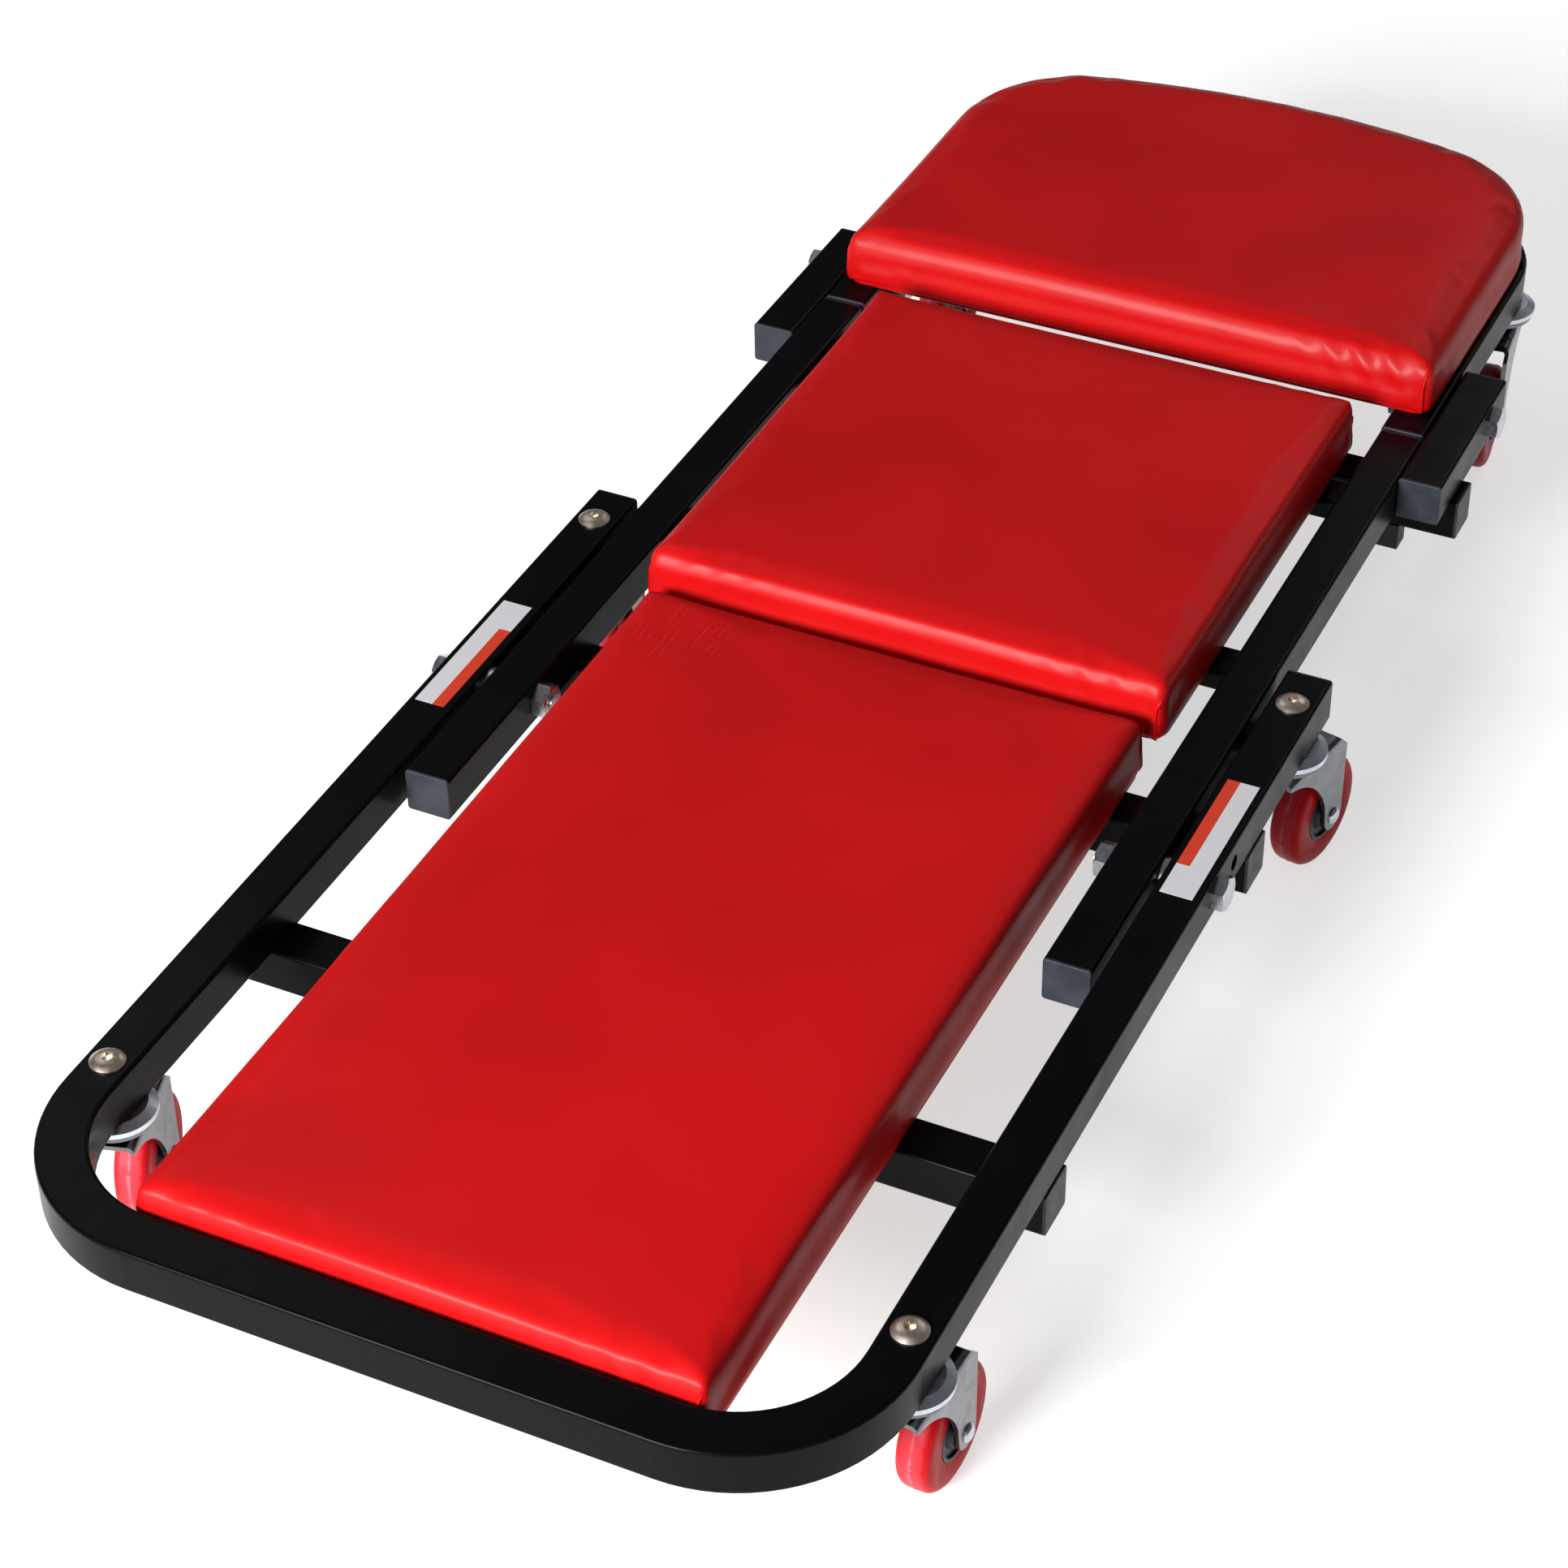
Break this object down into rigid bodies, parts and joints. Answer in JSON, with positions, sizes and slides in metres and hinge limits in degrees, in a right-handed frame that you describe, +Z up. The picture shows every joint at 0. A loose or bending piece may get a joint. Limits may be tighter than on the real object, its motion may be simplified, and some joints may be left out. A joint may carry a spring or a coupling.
{
  "type": "creeper seat",
  "caption": "Folding creeper on swivel casters: a padded steel-tube board that lies flat to lie on and folds into a low rolling seat.",
  "frame": {"origin": "on the floor, under the middle of the creeper as it lies flat", "axes": "+X across to the right, +Y from the foot end to the head end, +Z up"},
  "size_m": [0.4536, 1.1414, 0.155],
  "materials": {
    "black_paint": "gloss black enamel on square steel tube",
    "red_vinyl": "semi-gloss red vinyl with a fine grain, over foam",
    "plywood": "plain plywood, hidden inside the pads",
    "cap_plastic": "moulded black plastic",
    "zinc_steel": "bright zinc plate",
    "nickel_steel": "nickel plate with a warm tint",
    "strip_film": "plain printed film, white beside orange",
    "fork_chrome": "bright chrome on pressed steel",
    "hub_plastic": "moulded black plastic",
    "red_tread": "red moulded polyurethane, satin"
  },
  "bodies": {
    "base": {"base_frame": "black_paint", "foot_cross_tube": "black_paint", "pivot_cross_tube": "black_paint", "base_end_caps": "cap_plastic", "long_board": "plywood", "long_pad": "red_vinyl", "long_board_bolts": "zinc_steel", "main_pivot_bolts": "zinc_steel", "main_pivot_nuts": "zinc_steel", "main_pivot_spacers": "zinc_steel", "side_strips": "strip_film", "base_caster_bolts": "nickel_steel", "base_caster_nuts": "zinc_steel", "base_swivel_bearings": "zinc_steel"},
    "middle": {"middle_tube_left": "black_paint", "middle_tube_right": "black_paint", "joint_cross_tube": "black_paint", "middle_rails": "black_paint", "hinge_tubes": "black_paint", "middle_end_caps": "cap_plastic", "fold_stop_blocks": "black_paint", "middle_board": "plywood", "middle_pad": "red_vinyl", "middle_board_bolts": "zinc_steel", "head_pivot_bolts": "zinc_steel", "head_pivot_nuts": "zinc_steel"},
    "head": {"head_frame": "black_paint", "head_rail": "black_paint", "head_end_caps": "cap_plastic", "head_board": "plywood", "head_pad": "red_vinyl", "head_board_bolts": "zinc_steel", "head_caster_bolts": "nickel_steel", "head_caster_nuts": "zinc_steel", "head_swivel_bearings": "zinc_steel"},
    "swivel_foot_left": {"fork_foot_left": "fork_chrome", "axle_foot_left": "zinc_steel"},
    "wheel_foot_left": {"hub_foot_left": "hub_plastic", "tyre_foot_left": "red_tread"},
    "swivel_foot_right": {"fork_foot_right": "fork_chrome", "axle_foot_right": "zinc_steel"},
    "wheel_foot_right": {"hub_foot_right": "hub_plastic", "tyre_foot_right": "red_tread"},
    "swivel_rear_left": {"fork_rear_left": "fork_chrome", "axle_rear_left": "zinc_steel"},
    "wheel_rear_left": {"hub_rear_left": "hub_plastic", "tyre_rear_left": "red_tread"},
    "swivel_rear_right": {"fork_rear_right": "fork_chrome", "axle_rear_right": "zinc_steel"},
    "wheel_rear_right": {"hub_rear_right": "hub_plastic", "tyre_rear_right": "red_tread"},
    "swivel_head_left": {"fork_head_left": "fork_chrome", "axle_head_left": "zinc_steel"},
    "wheel_head_left": {"hub_head_left": "hub_plastic", "tyre_head_left": "red_tread"},
    "swivel_head_right": {"fork_head_right": "fork_chrome", "axle_head_right": "zinc_steel"},
    "wheel_head_right": {"hub_head_right": "hub_plastic", "tyre_head_right": "red_tread"}
  },
  "joints": [
    {"name": "main_fold", "type": "hinge", "parent": "base", "child": "middle", "pos_m": [0, -0.12675, 0.1075], "axis": [1, 0, 0], "range_deg": [0, 127.5]},
    {"name": "head_fold", "type": "hinge", "parent": "middle", "child": "head", "pos_m": [0, 0.33325, 0.1075], "axis": [1, 0, 0], "range_deg": [-127.5, 0]},
    {"name": "swivel_foot_left", "type": "hinge", "parent": "base", "child": "swivel_foot_left", "pos_m": [-0.203, -0.46925, 0.08], "axis": [0, 0, 1], "continuous": true},
    {"name": "wheel_foot_left", "type": "hinge", "parent": "swivel_foot_left", "child": "wheel_foot_left", "pos_m": [-0.21236, -0.43865, 0.03175], "axis": [0.9563, 0.2924, 0], "continuous": true},
    {"name": "swivel_foot_right", "type": "hinge", "parent": "base", "child": "swivel_foot_right", "pos_m": [0.203, -0.46925, 0.08], "axis": [0, 0, 1], "continuous": true},
    {"name": "wheel_foot_right", "type": "hinge", "parent": "swivel_foot_right", "child": "wheel_foot_right", "pos_m": [0.20467, -0.43729, 0.03175], "axis": [0.9986, -0.0523, 0], "continuous": true},
    {"name": "swivel_rear_left", "type": "hinge", "parent": "base", "child": "swivel_rear_left", "pos_m": [-0.203, 0.01575, 0.08], "axis": [0, 0, 1], "continuous": true},
    {"name": "wheel_rear_left", "type": "hinge", "parent": "swivel_rear_left", "child": "wheel_rear_left", "pos_m": [-0.20911, 0.04716, 0.03175], "axis": [0.9816, 0.1908, 0], "continuous": true},
    {"name": "swivel_rear_right", "type": "hinge", "parent": "base", "child": "swivel_rear_right", "pos_m": [0.203, 0.01575, 0.08], "axis": [0, 0, 1], "continuous": true},
    {"name": "wheel_rear_right", "type": "hinge", "parent": "swivel_rear_right", "child": "wheel_rear_right", "pos_m": [0.20911, 0.04716, 0.03175], "axis": [0.9816, -0.1908, 0], "continuous": true},
    {"name": "swivel_head_left", "type": "hinge", "parent": "head", "child": "swivel_head_left", "pos_m": [-0.17284, 0.48475, 0.08], "axis": [0, 0, 1], "continuous": true},
    {"name": "wheel_head_left", "type": "hinge", "parent": "swivel_head_left", "child": "wheel_head_left", "pos_m": [-0.17618, 0.45293, 0.03175], "axis": [-0.9945, 0.1045, 0], "continuous": true},
    {"name": "swivel_head_right", "type": "hinge", "parent": "head", "child": "swivel_head_right", "pos_m": [0.17284, 0.48475, 0.08], "axis": [0, 0, 1], "continuous": true},
    {"name": "wheel_head_right", "type": "hinge", "parent": "swivel_head_right", "child": "wheel_head_right", "pos_m": [0.17618, 0.45293, 0.03175], "axis": [-0.9945, -0.1045, 0], "continuous": true}
  ]
}
